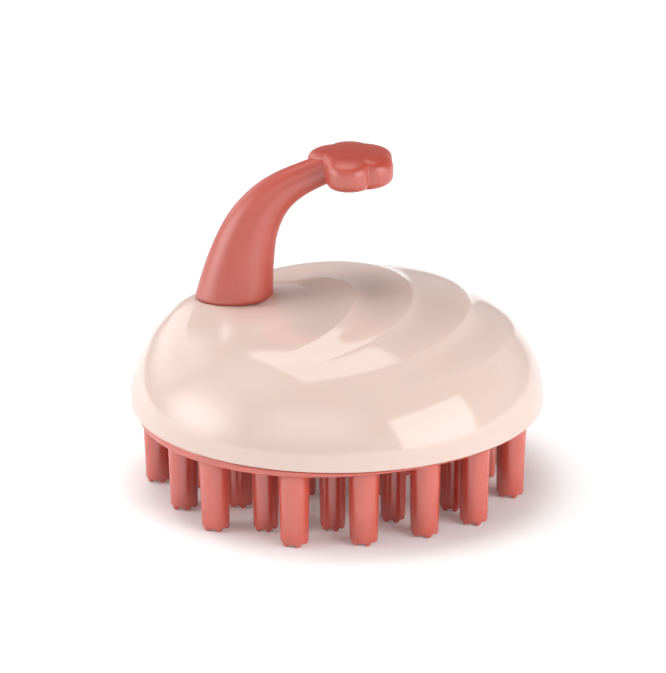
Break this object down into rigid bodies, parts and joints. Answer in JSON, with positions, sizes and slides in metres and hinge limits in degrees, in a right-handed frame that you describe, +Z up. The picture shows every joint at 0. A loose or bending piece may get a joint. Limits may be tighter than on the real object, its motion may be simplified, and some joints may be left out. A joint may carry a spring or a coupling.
{
  "type": "scalp massager brush",
  "caption": "Round hand-held scalp massager: a glossy whorled dome, a hooked handle ending in a flower, and a silicone pad of flexible nubbed fingers.",
  "frame": {"origin": "centre of the circle of finger tips, on the surface the brush stands on", "axes": "+Z up through the dome, +X from the handle's foot towards the flower, -Y the front"},
  "size_m": [0.088, 0.088, 0.0724],
  "materials": {
    "shell": "high gloss",
    "handle": "soft-touch matt",
    "silicone": "satin silicone",
    "carrier": "moulded",
    "seal": "matt",
    "steel": "plain"
  },
  "bodies": {
    "brush": {"top_shell": "shell", "handle_arm": "handle", "flower_head": "handle", "flower_dowel": "steel", "handle_seal": "seal", "handle_screw": "steel", "handle_washer": "steel", "carrier_plate": "carrier", "carrier_screws": "steel", "bristle_pad": "silicone"},
    "finger_centre": {"finger_centre": "silicone"},
    "finger_outer_01": {"finger_outer_01": "silicone"},
    "finger_outer_02": {"finger_outer_02": "silicone"},
    "finger_outer_03": {"finger_outer_03": "silicone"},
    "finger_outer_04": {"finger_outer_04": "silicone"},
    "finger_outer_05": {"finger_outer_05": "silicone"},
    "finger_outer_06": {"finger_outer_06": "silicone"},
    "finger_outer_07": {"finger_outer_07": "silicone"},
    "finger_outer_08": {"finger_outer_08": "silicone"},
    "finger_outer_09": {"finger_outer_09": "silicone"},
    "finger_outer_10": {"finger_outer_10": "silicone"},
    "finger_outer_11": {"finger_outer_11": "silicone"},
    "finger_outer_12": {"finger_outer_12": "silicone"},
    "finger_outer_13": {"finger_outer_13": "silicone"},
    "finger_outer_14": {"finger_outer_14": "silicone"},
    "finger_outer_15": {"finger_outer_15": "silicone"},
    "finger_outer_16": {"finger_outer_16": "silicone"},
    "finger_middle_01": {"finger_middle_01": "silicone"},
    "finger_middle_02": {"finger_middle_02": "silicone"},
    "finger_middle_03": {"finger_middle_03": "silicone"},
    "finger_middle_04": {"finger_middle_04": "silicone"},
    "finger_middle_05": {"finger_middle_05": "silicone"},
    "finger_middle_06": {"finger_middle_06": "silicone"},
    "finger_middle_07": {"finger_middle_07": "silicone"},
    "finger_middle_08": {"finger_middle_08": "silicone"},
    "finger_middle_09": {"finger_middle_09": "silicone"},
    "finger_middle_10": {"finger_middle_10": "silicone"},
    "finger_middle_11": {"finger_middle_11": "silicone"},
    "finger_middle_12": {"finger_middle_12": "silicone"},
    "finger_middle_13": {"finger_middle_13": "silicone"},
    "finger_middle_14": {"finger_middle_14": "silicone"},
    "finger_inner_01": {"finger_inner_01": "silicone"},
    "finger_inner_02": {"finger_inner_02": "silicone"},
    "finger_inner_03": {"finger_inner_03": "silicone"},
    "finger_inner_04": {"finger_inner_04": "silicone"},
    "finger_inner_05": {"finger_inner_05": "silicone"},
    "finger_inner_06": {"finger_inner_06": "silicone"}
  },
  "joints": [
    {"name": "finger_centre_flex", "type": "hinge", "parent": "brush", "child": "finger_centre", "pos_m": [0, 0, 0.0163], "axis": [0, -1, 0], "range_deg": [-10, 10], "stiffness_Nm_per_rad": 0.008},
    {"name": "finger_outer_01_flex", "type": "hinge", "parent": "brush", "child": "finger_outer_01", "pos_m": [-0.03835, -0.00336, 0.0163], "axis": [-0.0872, 0.9962, 0], "range_deg": [-10, 10], "stiffness_Nm_per_rad": 0.008},
    {"name": "finger_outer_02_flex", "type": "hinge", "parent": "brush", "child": "finger_outer_02", "pos_m": [-0.03204, -0.0185, 0.0163], "axis": [-0.5, 0.866, 0], "range_deg": [-10, 10], "stiffness_Nm_per_rad": 0.008},
    {"name": "finger_outer_03_flex", "type": "hinge", "parent": "brush", "child": "finger_outer_03", "pos_m": [-0.02494, -0.02972, 0.0163], "axis": [-0.766, 0.6428, 0], "range_deg": [-10, 10], "stiffness_Nm_per_rad": 0.008},
    {"name": "finger_outer_04_flex", "type": "hinge", "parent": "brush", "child": "finger_outer_04", "pos_m": [-0.00873, -0.03781, 0.0163], "axis": [-0.9744, 0.225, 0], "range_deg": [-10, 10], "stiffness_Nm_per_rad": 0.008},
    {"name": "finger_outer_05_flex", "type": "hinge", "parent": "brush", "child": "finger_outer_05", "pos_m": [0.00522, -0.03714, 0.0163], "axis": [-0.9903, -0.1392, 0], "range_deg": [-10, 10], "stiffness_Nm_per_rad": 0.008},
    {"name": "finger_outer_06_flex", "type": "hinge", "parent": "brush", "child": "finger_outer_06", "pos_m": [0.01761, -0.03311, 0.0163], "axis": [-0.8829, -0.4695, 0], "range_deg": [-10, 10], "stiffness_Nm_per_rad": 0.008},
    {"name": "finger_outer_07_flex", "type": "hinge", "parent": "brush", "child": "finger_outer_07", "pos_m": [0.02791, -0.02695, 0.0163], "axis": [-0.6947, -0.7193, 0], "range_deg": [-10, 10], "stiffness_Nm_per_rad": 0.008},
    {"name": "finger_outer_08_flex", "type": "hinge", "parent": "brush", "child": "finger_outer_08", "pos_m": [0.0364, -0.01253, 0.0163], "axis": [-0.3256, -0.9455, 0], "range_deg": [-10, 10], "stiffness_Nm_per_rad": 0.008},
    {"name": "finger_outer_09_flex", "type": "hinge", "parent": "brush", "child": "finger_outer_09", "pos_m": [0.03813, 0.00536, 0.0163], "axis": [0.1392, -0.9903, 0], "range_deg": [-10, 10], "stiffness_Nm_per_rad": 0.008},
    {"name": "finger_outer_10_flex", "type": "hinge", "parent": "brush", "child": "finger_outer_10", "pos_m": [0.03334, 0.01925, 0.0163], "axis": [0.5, -0.866, 0], "range_deg": [-10, 10], "stiffness_Nm_per_rad": 0.008},
    {"name": "finger_outer_11_flex", "type": "hinge", "parent": "brush", "child": "finger_outer_11", "pos_m": [0.0237, 0.03034, 0.0163], "axis": [0.788, -0.6157, 0], "range_deg": [-10, 10], "stiffness_Nm_per_rad": 0.008},
    {"name": "finger_outer_12_flex", "type": "hinge", "parent": "brush", "child": "finger_outer_12", "pos_m": [0.01061, 0.03701, 0.0163], "axis": [0.9613, -0.2756, 0], "range_deg": [-10, 10], "stiffness_Nm_per_rad": 0.008},
    {"name": "finger_outer_13_flex", "type": "hinge", "parent": "brush", "child": "finger_outer_13", "pos_m": [-0.00469, 0.03821, 0.0163], "axis": [0.9925, 0.1219, 0], "range_deg": [-10, 10], "stiffness_Nm_per_rad": 0.008},
    {"name": "finger_outer_14_flex", "type": "hinge", "parent": "brush", "child": "finger_outer_14", "pos_m": [-0.01867, 0.03367, 0.0163], "axis": [0.8746, 0.4848, 0], "range_deg": [-10, 10], "stiffness_Nm_per_rad": 0.008},
    {"name": "finger_outer_15_flex", "type": "hinge", "parent": "brush", "child": "finger_outer_15", "pos_m": [-0.02992, 0.02423, 0.0163], "axis": [0.6293, 0.7771, 0], "range_deg": [-10, 10], "stiffness_Nm_per_rad": 0.008},
    {"name": "finger_outer_16_flex", "type": "hinge", "parent": "brush", "child": "finger_outer_16", "pos_m": [-0.03682, 0.01126, 0.0163], "axis": [0.2924, 0.9563, 0], "range_deg": [-10, 10], "stiffness_Nm_per_rad": 0.008},
    {"name": "finger_middle_01_flex", "type": "hinge", "parent": "brush", "child": "finger_middle_01", "pos_m": [-0.02814, -0.00702, 0.0163], "axis": [-0.2419, 0.9703, 0], "range_deg": [-10, 10], "stiffness_Nm_per_rad": 0.008},
    {"name": "finger_middle_02_flex", "type": "hinge", "parent": "brush", "child": "finger_middle_02", "pos_m": [-0.02038, -0.01771, 0.0163], "axis": [-0.6561, 0.7547, 0], "range_deg": [-10, 10], "stiffness_Nm_per_rad": 0.008},
    {"name": "finger_middle_03_flex", "type": "hinge", "parent": "brush", "child": "finger_middle_03", "pos_m": [-0.01469, -0.03011, 0.0163], "axis": [-0.8988, 0.4384, 0], "range_deg": [-10, 10], "stiffness_Nm_per_rad": 0.008},
    {"name": "finger_middle_04_flex", "type": "hinge", "parent": "brush", "child": "finger_middle_04", "pos_m": [-0.00105, -0.02998, 0.0163], "axis": [-0.9994, 0.0349, 0], "range_deg": [-10, 10], "stiffness_Nm_per_rad": 0.008},
    {"name": "finger_middle_05_flex", "type": "hinge", "parent": "brush", "child": "finger_middle_05", "pos_m": [0.01139, -0.02558, 0.0163], "axis": [-0.9135, -0.4067, 0], "range_deg": [-10, 10], "stiffness_Nm_per_rad": 0.008},
    {"name": "finger_middle_06_flex", "type": "hinge", "parent": "brush", "child": "finger_middle_06", "pos_m": [0.02375, -0.01993, 0.0163], "axis": [-0.6428, -0.766, 0], "range_deg": [-10, 10], "stiffness_Nm_per_rad": 0.008},
    {"name": "finger_middle_07_flex", "type": "hinge", "parent": "brush", "child": "finger_middle_07", "pos_m": [0.03138, -0.00275, 0.0163], "axis": [-0.0872, -0.9962, 0], "range_deg": [-10, 10], "stiffness_Nm_per_rad": 0.008},
    {"name": "finger_middle_08_flex", "type": "hinge", "parent": "brush", "child": "finger_middle_08", "pos_m": [0.02707, 0.01039, 0.0163], "axis": [0.3584, -0.9336, 0], "range_deg": [-10, 10], "stiffness_Nm_per_rad": 0.008},
    {"name": "finger_middle_09_flex", "type": "hinge", "parent": "brush", "child": "finger_middle_09", "pos_m": [0.02015, 0.02086, 0.0163], "axis": [0.7193, -0.6947, 0], "range_deg": [-10, 10], "stiffness_Nm_per_rad": 0.008},
    {"name": "finger_middle_10_flex", "type": "hinge", "parent": "brush", "child": "finger_middle_10", "pos_m": [0.00944, 0.02742, 0.0163], "axis": [0.9455, -0.3256, 0], "range_deg": [-10, 10], "stiffness_Nm_per_rad": 0.008},
    {"name": "finger_middle_11_flex", "type": "hinge", "parent": "brush", "child": "finger_middle_11", "pos_m": [-0.00303, 0.02884, 0.0163], "axis": [0.9945, 0.1045, 0], "range_deg": [-10, 10], "stiffness_Nm_per_rad": 0.008},
    {"name": "finger_middle_12_flex", "type": "hinge", "parent": "brush", "child": "finger_middle_12", "pos_m": [-0.01494, 0.02486, 0.0163], "axis": [0.8572, 0.515, 0], "range_deg": [-10, 10], "stiffness_Nm_per_rad": 0.008},
    {"name": "finger_middle_13_flex", "type": "hinge", "parent": "brush", "child": "finger_middle_13", "pos_m": [-0.02404, 0.01622, 0.0163], "axis": [0.5592, 0.829, 0], "range_deg": [-10, 10], "stiffness_Nm_per_rad": 0.008},
    {"name": "finger_middle_14_flex", "type": "hinge", "parent": "brush", "child": "finger_middle_14", "pos_m": [-0.02847, 0.00553, 0.0163], "axis": [0.1908, 0.9816, 0], "range_deg": [-10, 10], "stiffness_Nm_per_rad": 0.008},
    {"name": "finger_inner_01_flex", "type": "hinge", "parent": "brush", "child": "finger_inner_01", "pos_m": [-0.0072, -0.01247, 0.0163], "axis": [-0.866, 0.5, 0], "range_deg": [-10, 10], "stiffness_Nm_per_rad": 0.008},
    {"name": "finger_inner_02_flex", "type": "hinge", "parent": "brush", "child": "finger_inner_02", "pos_m": [0.0072, -0.01247, 0.0163], "axis": [-0.866, -0.5, 0], "range_deg": [-10, 10], "stiffness_Nm_per_rad": 0.008},
    {"name": "finger_inner_03_flex", "type": "hinge", "parent": "brush", "child": "finger_inner_03", "pos_m": [0.0144, 0, 0.0163], "axis": [0, -1, 0], "range_deg": [-10, 10], "stiffness_Nm_per_rad": 0.008},
    {"name": "finger_inner_04_flex", "type": "hinge", "parent": "brush", "child": "finger_inner_04", "pos_m": [0.0072, 0.01247, 0.0163], "axis": [0.866, -0.5, 0], "range_deg": [-10, 10], "stiffness_Nm_per_rad": 0.008},
    {"name": "finger_inner_05_flex", "type": "hinge", "parent": "brush", "child": "finger_inner_05", "pos_m": [-0.0072, 0.01247, 0.0163], "axis": [0.866, 0.5, 0], "range_deg": [-10, 10], "stiffness_Nm_per_rad": 0.008},
    {"name": "finger_inner_06_flex", "type": "hinge", "parent": "brush", "child": "finger_inner_06", "pos_m": [-0.0144, 0, 0.0163], "axis": [0, 1, 0], "range_deg": [-10, 10], "stiffness_Nm_per_rad": 0.008}
  ]
}
